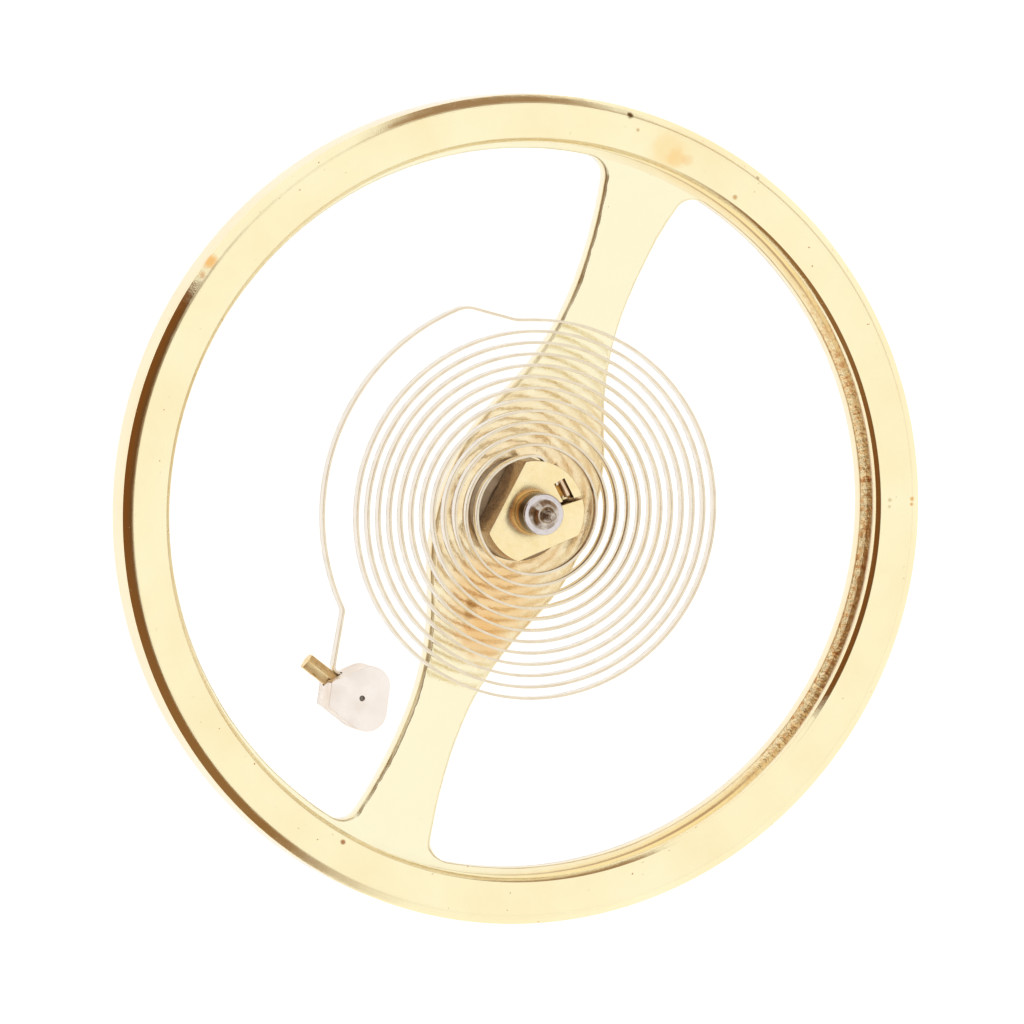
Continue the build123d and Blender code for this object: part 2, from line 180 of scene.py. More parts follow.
def fill(mesh, *rings):
    """A flat face between closed rings of vertices."""
    edges = []
    for ring in rings:
        for index in range(len(ring)):
            ends = (ring[index], ring[(index + 1) % len(ring)])
            edges.append(mesh.edges.get(ends) or mesh.edges.new(ends))
    bmesh.ops.triangle_fill(mesh, edges=edges, use_beauty=True)


def prism(name, outline, low, high, place=None, edge=EDGE_ROUND, steps=3):
    """A flat plate with rounded edges, from an outline that turns left."""
    mesh = bmesh.new()
    levels = [(edge * inner, edge * rise) for inner, rise in edge_steps(steps)]
    stack = [add_ring(mesh, inset(outline, inner), low + rise) for inner, rise in levels]
    stack += [add_ring(mesh, inset(outline, inner), high - rise) for inner, rise in reversed(levels)]
    bridge(mesh, stack)
    fill(mesh, stack[0])
    fill(mesh, stack[-1])
    return as_object(mesh, name, place)


def lathe(name, profile, segments, place=None, closed=False):
    """A turned solid from (radius, z) points, which start and end on the axis unless it is closed."""
    mesh = bmesh.new()
    rings = []
    for radius, z in profile:
        if radius < SAME_PLACE:
            rings.append([mesh.verts.new((0, 0, z))] * segments)
        else:
            rings.append(add_ring(mesh, circle(radius, segments), z))
    bridge(mesh, rings + rings[:1] if closed else rings)
    return as_object(mesh, name, place)


def as_object(mesh, name, place=None):
    """The finished mesh as an object, in millimetres, with doubled points joined."""
    bmesh.ops.remove_doubles(mesh, verts=mesh.verts, dist=SAME_PLACE)
    if place is not None:
        bmesh.ops.transform(mesh, matrix=place, verts=mesh.verts)
    bmesh.ops.recalc_face_normals(mesh, faces=mesh.faces)
    data = bpy.data.meshes.new(name)
    mesh.to_mesh(data)
    mesh.free()
    obj = bpy.data.objects.new(name, data)
    bpy.context.scene.collection.objects.link(obj)
    return obj


def keep_largest(data):
    """Deletes the slivers that a cut can leave beside the solid."""
    mesh = bmesh.new()
    mesh.from_mesh(data)
    bmesh.ops.remove_doubles(mesh, verts=mesh.verts, dist=SAME_PLACE)
    left = set(mesh.verts)
    parts = []
    while left:
        reached = [left.pop()]
        for vertex in reached:
            near = [edge.other_vert(vertex) for edge in vertex.link_edges]
            near = [other for other in near if other in left]
            left.difference_update(near)
            reached += near
        parts.append(reached)
    largest = max(parts, key=len)
    for part in parts:
        if part is not largest:
            bmesh.ops.delete(mesh, geom=part, context="VERTS")
    mesh.to_mesh(data)
    mesh.free()


def cut(obj, cutter):
    """Takes the cutter's solid out of the object and deletes the cutter."""
    boolean = obj.modifiers.new("cut", "BOOLEAN")
    boolean.object = cutter
    boolean.solver = "EXACT"
    depsgraph = bpy.context.evaluated_depsgraph_get()
    result = bpy.data.meshes.new_from_object(obj.evaluated_get(depsgraph))
    obj.modifiers.clear()
    keep_largest(result)
    obj.data = result
    bpy.data.objects.remove(cutter)


def placed(place, x, y, z):
    """The matrix that puts a shape at the place, with its axes along x, y and z."""
    return Matrix.Translation(place) @ Matrix((x, y, z)).transposed().to_4x4()


def lying(start, way, level=SPRING_Z):
    """The matrix that lays an upright shape along the way in the plan, from the start."""
    z = way.to_3d().normalized()
    y = z.cross(UP).normalized()
    return placed((*start, level), y.cross(z), y, z)


def rod(radius, length, place):
    """A plain round cutter."""
    return lathe("rod", [(0, 0), (radius, 0), (radius, length), (0, length)], CUTTER_SIDES, place)


def dress(obj, node, material, body="balance"):
    """Scales the piece to metres, gives it its finish and body, and hides the CAD node that it stands for.
    """
    obj.data.transform(Matrix.Scale(MM, 4))
    obj.data.shade_smooth()
    obj.data.set_sharp_from_angle(angle=math.radians(SHARP_ANGLE))
    weighted = obj.modifiers.new("even normals", "WEIGHTED_NORMAL")
    weighted.keep_sharp = True
    weighted.weight = 100
    obj.data.materials.clear()
    obj.data.materials.append(material)
    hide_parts(node)
    if body is not None:
        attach(obj, body)


# Colours are written as they show, from 0 to 255, and turned to linear light here
def colour(red, green, blue):
    """The linear colour of one written in sRGB."""
    def linear(value):
        value /= 255
        return value / 12.92 if value <= 0.04045 else ((value + 0.055) / 1.055) ** 2.4

    return (linear(red), linear(green), linear(blue), 1)


class Nodes:
    """A short way to write the nodes of a material or a world."""

    def __init__(self, owner):
        owner.use_nodes = True
        owner.node_tree.nodes.clear()
        self.owner = owner
        self.tree = owner.node_tree
        self.where = None

    def add(self, kind, settings=None, **inputs):
        """A node. An input, given by its name or as i and its number, is a value or an output."""
        node = self.tree.nodes.new(kind)
        for key, value in (settings or {}).items():
            setattr(node, key, value)
        for key, value in inputs.items():
            socket = node.inputs[int(key[1:])] if key[0] == "i" and key[1:].isdigit() else node.inputs[key]
            if isinstance(value, bpy.types.NodeSocket):
                self.tree.links.new(value, socket)
            else:
                socket.default_value = value
        return node

    def math(self, operation, first, second=0.0, third=0.0):
        """The output of a math node."""
        node = self.add("ShaderNodeMath", {"operation": operation}, i0=first, i1=second, i2=third)
        return node.outputs[0]

    def ramp(self, factor, *stops):
        """A colour ramp's output. Each stop is (place, colour)."""
        node = self.add("ShaderNodeValToRGB", i0=factor)
        elements = node.color_ramp.elements
        while len(elements) < len(stops):
            elements.new(0.5)
        for element, (place, shade) in zip(elements, stops):
            element.position = place
            element.color = shade
        return node.outputs[0]

    def clouded(self, cloud, first, second, low=0.4, high=0.7):
        """The first colour where the cloud is thin, and the second where it is thick."""
        return self.ramp(cloud, (low, first), (high, second))

    def mix(self, factor, first, second):
        """Two colours mixed."""
        return self.add("ShaderNodeMix", {"data_type": "RGBA"}, i0=factor, i6=first, i7=second).outputs[2]

    def span(self, value, from_low, from_high, to_low=0.0, to_high=1.0):
        """A value mapped smoothly from one range to another."""
        node = self.add("ShaderNodeMapRange", {"interpolation_type": "SMOOTHSTEP"},
                        i0=value, i1=from_low, i2=from_high, i3=to_low, i4=to_high)
        return node.outputs[0]

    def between(self, value, start, full, end, gone):
        """1 where the value is between full and end, and 0 outside start and gone."""
        return self.times(self.span(value, start, full), self.span(value, gone, end))

    def below(self, value, full, gone):
        """1 up to full, and 0 from gone on."""
        return self.span(value, gone, full)

    def times(self, first, second):
        """The product."""
        return self.math("MULTIPLY", first, second)

    def raised(self, value, share, amount):
        """The value with this share of the amount added."""
        return self.math("MULTIPLY_ADD", share, amount, value)

    def height(self, vector):
        """The vector's part along the staff."""
        return self.add("ShaderNodeSeparateXYZ", i0=vector).outputs["Z"]

    def up(self):
        """The height part of the surface's normal."""
        return self.height(self.add("ShaderNodeNewGeometry").outputs["Normal"])

    def vectors(self, operation, first, **inputs):
        """A vector math node."""
        return self.add("ShaderNodeVectorMath", {"operation": operation}, i0=first, **inputs)

    def distance(self, vector, place):
        """How far the place is from the vector."""
        return self.vectors("DISTANCE", vector, i1=place).outputs["Value"]

    def dot(self, vector, way):
        """The vector's part along the way."""
        return self.vectors("DOT_PRODUCT", vector, i1=way).outputs["Value"]

    def places(self):
        """Places on the piece, in millimetres."""
        if self.where is None:
            metres = self.add("ShaderNodeTexCoord").outputs["Object"]
            self.where = self.vectors("SCALE", metres, i3=1 / MM).outputs[0]
        return self.where

    def noise(self, scale, detail=3.0, roughness=0.5):
        """A noise, about 0.5 on average. The scale is in waves per millimetre."""
        settings = {"Scale": scale, "Detail": detail, "Roughness": roughness}
        return self.add("ShaderNodeTexNoise", i0=self.places(), **settings).outputs[0]

    def cloud(self, scale):
        """A noise with soft and fine patches, to mix two shades of a metal."""
        return self.noise(scale, 4.0, 0.6)

    def grain(self, scale):
        """A noise for the relief of a finish."""
        return self.noise(scale, 3.0, 0.6)

    def uneven(self, scale, low, high):
        """A value that wanders between low and high."""
        return self.span(self.noise(scale), 0.3, 0.7, low, high)

    def finish(self, tone, roughness, bump=None, depth=0.0, metallic=1.0, **sockets):
        """The finished material. The bump's depth is in millimetres."""
        values = {"Base_Color": tone, "Roughness": roughness, "Metallic": metallic, **sockets}
        if bump is not None:
            relief = self.add("ShaderNodeBump", Height=bump, Strength=1.0, Distance=depth * MM)
            values["Normal"] = relief.outputs[0]
        values = {key.replace("_", " "): value for key, value in values.items()}
        shader = self.add("ShaderNodeBsdfPrincipled", **values)
        self.add("ShaderNodeOutputMaterial", Surface=shader.outputs[0])
        return self.owner


def new_material(name):
    """The nodes of a new material."""
    return Nodes(bpy.data.materials.new(name))


WHITE = (1, 1, 1, 1)
GILT = colour(255, 245, 204)
GILT_WARM = colour(253, 237, 190)
WEB = colour(255, 249, 217)
# Painted sheen on the web's cut walls
WEB_WALL_SHEEN = colour(255, 251, 226)
# Painted shade and reflections of the coils, on the web near the hub
COIL_SHADE_PALE = colour(253, 235, 196)
COIL_SHADE_BROWN = colour(240, 204, 150)
LEDGE_WARM = colour(254, 232, 184)
# Painted shade on the rim's inner wall
RIM_WALL_SHADE = colour(222, 204, 176)
# Painted shade in the corner at the foot of the rim's inner wall
RIM_CORNER_SHADE = colour(170, 128, 82)
PIT = colour(196, 120, 50)

# The burrs: the side of the wheel that has them, their slope per millimetre, how high they stand in
# the relief, and their colours from the hollows up, which are painted shade in the hollows and painted
# highlights on the tops
BURRED_WAY = (0.968, 0.250, 0)
BURR_LEAN = 9.5
BURR_HEIGHT = 22.0
BURR_GLINTS_AND_SHADE = ((0.34, colour(224, 160, 96)), (0.44, colour(252, 212, 152)), (0.56, colour(255, 234, 186)))

# Radii at which parts of the rim start, are full, end and are gone: two edges and the inner wall
OUTER_CREST = (WHEEL_R - 0.130, WHEEL_R - 0.116, WHEEL_R - 0.092, WHEEL_R - 0.078)
INNER_LIP = (4.42, 4.43, 4.482, 4.492)
INNER_WALL = (4.39, 4.42, 4.435, 4.45)

# Stains on the wheel: place and size in millimetres, strength, colour
STAINS = [
    ((0.00, 4.66, 2.13), 0.30, 0.40, (252, 214, 140)),
    ((0.13, 4.60, 2.13), 0.16, 0.40, (250, 200, 120)),
    ((0.27, 4.63, 2.13), 0.10, 0.35, (246, 200, 130)),
    ((-4.798, 1.341, 2.10), 0.13, 0.85, (246, 186, 104)),
    ((-4.83, 1.15, 2.10), 0.07, 0.60, (222, 160, 92)),
    ((-0.602, 4.87, 2.11), 0.055, 1.00, (112, 84, 44)),
    ((0.999, 4.447, 2.13), 0.040, 0.80, (206, 160, 96)),
    ((1.19, 4.782, 2.13), 0.045, 0.90, (140, 108, 60)),
    ((-0.447, 4.739, 2.13), 0.030, 0.70, (206, 168, 110)),
    ((-0.646, -4.506, 2.13), 0.040, 0.90, (170, 110, 62)),
    ((0.15, -4.413, 2.13), 0.035, 0.90, (170, 110, 62)),
    ((4.238, 1.777, 2.13), 0.035, 0.60, (206, 180, 130)),
    ((4.262, 1.700, 2.13), 0.025, 0.60, (214, 190, 140)),
    ((4.497, 1.890, 2.12), 0.040, 0.80, (232, 172, 84)),
    ((4.515, 1.830, 2.12), 0.035, 0.80, (226, 160, 74)),
    ((0.085, -1.15, 1.75), 0.75, 0.60, (242, 194, 124)),
    ((0.151, -1.60, 1.75), 0.42, 0.55, (238, 182, 108)),
    ((-0.112, -1.263, 1.75), 0.10, 0.70, (176, 126, 56)),
    ((-0.085, -1.395, 1.75), 0.10, 0.60, (176, 126, 56)),
]


def gilt_material():
    """Gilt brass, polished and turned, with fine pits, a burred ledge, a few warm stains, and painted shade,
    sheen and highlights.
    """
    nodes = new_material("gilt_brass")
    places = nodes.places()
    x, y, z = nodes.add("ShaderNodeSeparateXYZ", i0=places).outputs
    up = nodes.up()
    out = nodes.distance(nodes.add("ShaderNodeCombineXYZ", X=x, Y=y).outputs[0], (0, 0, 0))
    tone = nodes.clouded(nodes.noise(0.9, 4.0, 0.55), GILT, GILT_WARM, 0.35, 0.72)

    # The web is paler, warmer towards the hub with painted shade and reflections of the coils above it, and
    # palest on its cut walls, which is a painted sheen
    web = nodes.below(z, ARM_TOP_Z + 0.005, ARM_TOP_Z + 0.03)
    web = nodes.times(web, nodes.below(out, RIM_INNER_R, RIM_INNER_R + 0.02))
    tone = nodes.mix(nodes.times(web, 0.7), tone, WEB)
    hub = nodes.times(web, nodes.below(out, 0.7, 2.2))
    coil_shade = nodes.clouded(nodes.cloud(3.5), COIL_SHADE_PALE, COIL_SHADE_BROWN, 0.35)
    tone = nodes.mix(nodes.times(hub, 0.8), tone, coil_shade)
    # Painted sheen: the web's upright walls are painted paler than its top
    wall = nodes.times(web, nodes.between(up, -0.45, -0.05, 0.05, 0.45))
    tone = nodes.mix(nodes.times(wall, 0.75), tone, WEB_WALL_SHEEN)

    # Burrs left by the tool on the ledge, nearly all on one side of the wheel; their colours are painted
    # highlights and painted shade
    ledge = nodes.times(web, nodes.span(out, LEDGE_R - 0.02, LEDGE_R + 0.01))
    sideways = nodes.math("DIVIDE", nodes.dot(places, BURRED_WAY), out)
    burred = nodes.times(nodes.times(ledge, nodes.span(sideways, 0.64, 0.94)), nodes.span(up, 0.3, 0.8))
    burr_glint_and_shade = nodes.ramp(nodes.noise(15.0, 2.0, 0.6), *BURR_GLINTS_AND_SHADE)
    warmed = nodes.times(ledge, nodes.span(sideways, -0.2, 0.5))
    tone = nodes.mix(nodes.times(warmed, 0.7), tone, LEDGE_WARM)
    tone = nodes.mix(nodes.times(burred, 0.9), tone, burr_glint_and_shade)

    # The rim's inner wall is darkened with painted shade on that side, where it stands over the burrs
    inner = nodes.times(nodes.between(out, *INNER_WALL), nodes.below(up, 0.3, 0.6))
    inner = nodes.times(inner, nodes.below(z, 1.965, 2.02))
    painted_shade = nodes.times(inner, nodes.span(sideways, 0.6, 0.95))
    tone = nodes.mix(painted_shade, tone, RIM_WALL_SHADE)
    # Painted shade in the corner at the foot of the inner wall, on the side away from the burrs
    corner = nodes.times(nodes.below(z, ARM_TOP_Z + 0.05, ARM_TOP_Z + 0.08), inner)
    corner = nodes.times(corner, nodes.between(sideways, -0.4, -0.1, 0.65, 0.85))
    tone = nodes.mix(corner, tone, RIM_CORNER_SHADE)

    # Pits, and stains with ragged edges
    pits = nodes.span(nodes.noise(16.0, 2.0), 0.735, 0.78)
    tone = nodes.mix(pits, tone, PIT)
    ragged = nodes.raised(0.55, nodes.grain(9.0), 0.9)
    for place, size, strength, shade in STAINS:
        away = nodes.times(nodes.distance(places, place), ragged)
        tone = nodes.mix(nodes.span(away, size, size * 0.35, 0.0, strength), tone, colour(*shade))

    roughness = nodes.span(nodes.noise(5.0, 5.0, 0.6), 0.35, 0.7, 0.05, 0.13)
    roughness = nodes.raised(roughness, ledge, 0.08)
    roughness = nodes.raised(roughness, burred, 0.08)

    # Rounded edges are less polished: the arms', the outer chamfer's, and the inner lip's far from the burrs
    soft = nodes.times(web, nodes.between(up, 0.2, 0.4, 0.93, 0.985))
    high = nodes.span(z, 2.05, 2.07)
    crest = nodes.between(out, *OUTER_CREST)
    lip = nodes.times(nodes.between(out, *INNER_LIP), nodes.span(sideways, -0.1, -0.5))
    soft = nodes.raised(soft, high, nodes.math("MAXIMUM", crest, lip))
    roughness = nodes.raised(roughness, soft, 0.22)

    # Fine grain, soft waves, hollow pits, a beaten hub, and burrs that lean outwards
    relief = nodes.grain(55.0)
    relief = nodes.raised(relief, nodes.noise(3.2, 2.0, 0.4), 6.0)
    relief = nodes.raised(relief, pits, -2.0)
    relief = nodes.raised(relief, nodes.times(hub, nodes.noise(6.0, 2.0, 0.4)), 7.0)
    lean = nodes.times(nodes.math("SUBTRACT", out, LEDGE_R), BURR_LEAN)
    lean = nodes.math("ADD", lean, nodes.noise(18.0, 2.0, 0.6))
    relief = nodes.raised(relief, nodes.times(burred, lean), BURR_HEIGHT)
    return nodes.finish(tone, roughness, relief, 0.0006)


def metal_material(name, shade, worn, roughness):
    """A polished or fine-turned metal, with a second shade where it is worn."""
    nodes = new_material(name)
    tone = nodes.clouded(nodes.cloud(8.0), shade, worn)
    rough = nodes.uneven(16.0, roughness * 0.7, roughness * 1.4)
    return nodes.finish(tone, rough, nodes.grain(72.0), 0.0005)


def collet_material():
    """Polished brass, with painted shade on its sides, which are darker than its top."""
    nodes = new_material("collet_brass")
    cloud = nodes.cloud(6.0)
    top = nodes.clouded(cloud, colour(255, 236, 188), colour(251, 228, 172))
    # Painted shade: the sides are darker than the top
    painted_shade = nodes.clouded(cloud, colour(172, 150, 126), colour(196, 172, 142), 0.35)
    tone = nodes.mix(nodes.span(nodes.up(), 0.2, 0.6), painted_shade, top)
    rough = nodes.uneven(16.0, 0.22, 0.28)
    return nodes.finish(tone, rough, nodes.noise(40.0, 2.0), 0.00012)


def alloy_material():
    """Rolled strip, pale on its sides and warmer along its sheared edges."""
    nodes = new_material("spring_alloy")
    edge = nodes.span(nodes.math("ABSOLUTE", nodes.up()), 0.35, 0.75)
    cloud = nodes.cloud(5.0)
    side = nodes.clouded(cloud, colour(248, 242, 230), colour(242, 234, 219))
    sheared = nodes.clouded(cloud, colour(240, 227, 202), colour(230, 215, 188))
    tone = nodes.mix(edge, side, sheared)
    rough = nodes.raised(nodes.uneven(10.0, 0.06, 0.14), edge, 0.2)
    return nodes.finish(tone, rough, nodes.grain(45.0), 0.0004)


def steel_material():
    """Polished steel, with painted shade on the rivet and in the cone under the upper pivot."""
    nodes = new_material("polished_steel")
    z = nodes.height(nodes.places())
    tone = nodes.clouded(nodes.cloud(8.0), colour(224, 216, 214), colour(204, 196, 194))
    # Painted shade in the cone under the upper pivot
    cone = nodes.span(z, NOSE_TOP_Z + 0.002, NOSE_TOP_Z + 0.006)
    cone_shade = nodes.clouded(nodes.noise(11.0), colour(166, 150, 134), colour(218, 208, 196), 0.4, 0.65)
    tone = nodes.mix(cone, tone, cone_shade)
    # Painted shade on the rivet under the collet
    cloud = nodes.cloud(5.0)
    painted_shade = nodes.clouded(cloud, colour(170, 148, 120), colour(192, 168, 140), 0.35)
    rivet = nodes.below(z, RIVET_TOP_Z + 0.002, RIVET_TOP_Z + 0.006)
    tone = nodes.mix(rivet, tone, painted_shade)

    # The nose's wall has painted shade, dulled and dark above the collet and orange lower down, and a
    # painted reflection of the brass collet at its foot
    wall = nodes.between(z, COLLET_TOP_Z - 0.03, COLLET_TOP_Z - 0.02, NOSE_TOP_Z - 0.04, NOSE_TOP_Z - 0.01)
    wall = nodes.times(wall, nodes.below(nodes.up(), 0.3, 0.7))
    foot = nodes.times(wall, nodes.below(z, COLLET_TOP_Z + 0.03, COLLET_TOP_Z + 0.09))
    fringe = nodes.below(z, COLLET_TOP_Z + 0.10, COLLET_TOP_Z + 0.18)
    dark = nodes.mix(fringe, colour(104, 92, 84), colour(204, 148, 96))
    tone = nodes.mix(wall, tone, dark)
    tone = nodes.mix(foot, tone, colour(244, 216, 166))
    tint = nodes.mix(wall, WHITE, colour(206, 200, 192))
    rough = nodes.raised(nodes.uneven(16.0, 0.08, 0.17), rivet, 0.28)
    rough = nodes.raised(rough, foot, 0.32)
    return nodes.finish(tone, rough, nodes.grain(72.0), 0.0005, Specular_Tint=tint)


def stud_material():
    """Finely ground steel, dark in the centre mark."""
    nodes = new_material("stud_steel")
    tone = nodes.clouded(nodes.cloud(1.5), colour(251, 242, 233), colour(250, 239, 228))
    sunk = nodes.below(nodes.height(nodes.places()), STUD_TOP_Z - 0.012, STUD_TOP_Z - 0.002)
    sunk = nodes.times(sunk, nodes.span(nodes.up(), 0.3, 0.5))
    tone = nodes.mix(sunk, tone, colour(142, 136, 126))
    rough = nodes.uneven(3.0, 0.22, 0.45)
    return nodes.finish(tone, rough, nodes.grain(13.5), 0.00008)


def ruby_material():
    """Red synthetic ruby, clear and hard."""
    nodes = new_material("ruby")
    tone = nodes.clouded(nodes.noise(9.0, 2.0), colour(214, 22, 58), colour(188, 10, 42), 0.3)
    return nodes.finish(tone, 0.04, metallic=0.0, IOR=1.76, Transmission_Weight=0.55)


def shellac_material():
    """Shellac, brown and glossy, with a slightly uneven skin."""
    nodes = new_material("shellac")
    tone = nodes.clouded(nodes.noise(12.0), colour(92, 42, 12), colour(134, 68, 22), 0.3)
    return nodes.finish(tone, 0.12, nodes.noise(20.0), 0.004, metallic=0.0)


# Wheel
RIM_SIDES = 720
BORE_SIDES = 128
RIM_EDGE_ROUND = 0.015
RIM_FOOT_ROUND = 0.02
RIM_TOP_ROUND = 0.03
RIM_LIP_ROUND = 0.012
CHAMFER_CROWN_R = 0.6
FLANK_STEPS = 24
FOOT_EDGE_STEPS = 3
TOP_EDGE_STEPS = 8

# The round of the arms' upper edges starts this near the ledge, and it wanders in two waves:
# waves per millimetre, place in the noise, share
ARM_EDGE_FROM = 0.12
EDGE_WAVES = ((2.3, 4.0, 0.45), (11.0, 9.0, 0.30))
LEAST_WANDER = 0.3


def window_outline():
    """The right-hand window: two waisted flanks, two fillets and the ledge's arc, turning left."""
    turn_at = Vector((
        HUB_HALF_WIDTH + FLANK_TURN_SHARE * (WAIST_HALF_WIDTH - HUB_HALF_WIDTH),
        FLANK_TURN_SHARE * WAIST_AT,
    ))
    root = Vector((ROOT_HALF_WIDTH, math.sqrt(LEDGE_R**2 - ROOT_HALF_WIDTH**2)))
    waist = Vector((WAIST_HALF_WIDTH, WAIST_AT))
    hub_flank, way, _, _ = tangent_arc((HUB_HALF_WIDTH, 0), (0, 1), turn_at, FLANK_STEPS)
    waist_flank, way, _, _ = tangent_arc(turn_at, way, waist, FLANK_STEPS)
    _, _, root_centre, root_r = tangent_arc(waist, way, root, FLANK_STEPS)
    # The fillet touches the last flank and the ledge's circle from inside both
    far, near = root_r - WINDOW_FILLET, LEDGE_R - WINDOW_FILLET
    reach = root_centre.length
    share = (near**2 - far**2 + reach**2) / (2 * reach)
    across = math.sqrt(near**2 - share**2)
    out = root_centre.normalized()
    fillet_centre = out * share + turned(out, 90) * across
    leave = root_centre + (fillet_centre - root_centre).normalized() * root_r
    meet = fillet_centre.normalized() * LEDGE_R
    flank_turn = math.degrees((waist - root_centre).angle(leave - root_centre))
    root_flank = arc(root_centre, waist, -flank_turn, steps=20)
    fillet_turn = math.degrees((leave - fillet_centre).angle(meet - fillet_centre))
    fillet = arc(fillet_centre, leave, -fillet_turn, steps=14)
    ledge_turn = math.degrees(math.atan2(meet.y, meet.x))
    ledge = arc((0, 0), meet, -ledge_turn, steps=100)
    half = hub_flank[:-1] + waist_flank[:-1] + root_flank[:-1] + fillet[:-1] + ledge
    mirrored = [Vector((point.x, -point.y)) for point in reversed(half[1:-1])]
    return list(reversed(half + mirrored))


def edge_rounds(outline):
    """The radius of the window's upper edge at each point: larger along the arms, and uneven."""
    rounds = []
    for point in outline:
        share = min(1.0, max(0.0, (LEDGE_R - point.length) / ARM_EDGE_FROM))
        wander = 1 + sum(part * noise.noise((*point * scale, level)) for scale, level, part in EDGE_WAVES)
        radius = LEDGE_EDGE_ROUND + share * (ARM_EDGE_ROUND - LEDGE_EDGE_ROUND)
        rounds.append(radius * max(LEAST_WANDER, wander))
    return rounds


def make_wheel(material):
    """The rim is turned, and the web inside it is a plate with two windows."""
    run, fall = RIM_OUTER_CHAMFER + CHAMFER_LEAN, RIM_OUTER_CHAMFER - CHAMFER_LEAN
    mesh = bmesh.new()
    corners = rounded([
        (RIM_INNER_R, ARM_Z, 0),
        (RIM_INNER_R, RIM_Z, RIM_EDGE_ROUND),
        (WHEEL_R - RIM_FOOT_CHAMFER, RIM_Z, RIM_FOOT_ROUND),
        (WHEEL_R, RIM_Z + RIM_FOOT_CHAMFER, RIM_FOOT_ROUND),
        (WHEEL_R, RIM_TOP_Z - fall, RIM_EDGE_ROUND),
        (WHEEL_R - run / 2 + CHAMFER_CROWN, RIM_TOP_Z - fall / 2 + CHAMFER_CROWN, CHAMFER_CROWN_R),
        (WHEEL_R - run, RIM_TOP_Z, RIM_TOP_ROUND),
        (RIM_INNER_R + RIM_INNER_CHAMFER, RIM_TOP_Z, RIM_LIP_ROUND),
        (RIM_INNER_R, RIM_TOP_Z - RIM_INNER_CHAMFER, RIM_LIP_ROUND),
        (RIM_INNER_R, ARM_TOP_Z, LEDGE_FILLET),
    ], steps=5)
    rim = [add_ring(mesh, circle(point.x, RIM_SIDES), point.y) for point in corners]
    bore = [add_ring(mesh, circle(WHEEL_BORE_R, BORE_SIDES), z) for z in (ARM_Z, ARM_TOP_Z)]
    bridge(mesh, rim)
    bridge(mesh, bore)
    lows, highs = [bore[0], rim[0]], [bore[-1], rim[-1]]
    window = window_outline()
    for outline in (window, [-point for point in window]):
        stack = [
            add_ring(mesh, inset(outline, -EDGE_ROUND * inner), ARM_Z + EDGE_ROUND * rise)
            for inner, rise in edge_steps(FOOT_EDGE_STEPS)
        ]
        rounds = edge_rounds(outline)
        for inner, rise in reversed(edge_steps(TOP_EDGE_STEPS)):
            ring = add_ring(mesh, spread(outline, [-radius * inner for radius in rounds]), ARM_TOP_Z)
            for vertex, radius in zip(ring, rounds):
                vertex.co.z -= radius * rise
            stack.append(ring)
        bridge(mesh, stack)
        lows.append(stack[0])
        highs.append(stack[-1])
    fill(mesh, *lows)
    fill(mesh, *highs)
    wheel = as_object(mesh, "balance_wheel_gilt")
    dress(wheel, "balance_wheel", material)


# Staff
PIVOT_R = 0.05
PIVOT_LENGTH = 0.18
PIVOT_ROUND = 0.02
ROLLER_SEAT_Z = 0.38
ROLLER_SEAT_R = 0.21
TABLE_TOP_Z = 1.10
STAFF_SIDES = 160
STAFF_BODY_R = 0.32
FLANGE_R = 0.62
FLANGE_CHAMFER = 0.03
WHEEL_SEAT_R = 0.42
RIVET_LIP = 0.21
RIVET_LIP_RISE = 0.02
COLLET_SEAT_R = 0.25
SEAT_TOP_Z = 2.35
NOSE_R = 0.2495
NOSE_ROUND = 0.02
NOSE_LAND = 0.035
NOSE_TOP_Z = 2.80
UPPER_PIVOT_Z = 3.00
STAFF_TOP_Z = 3.18


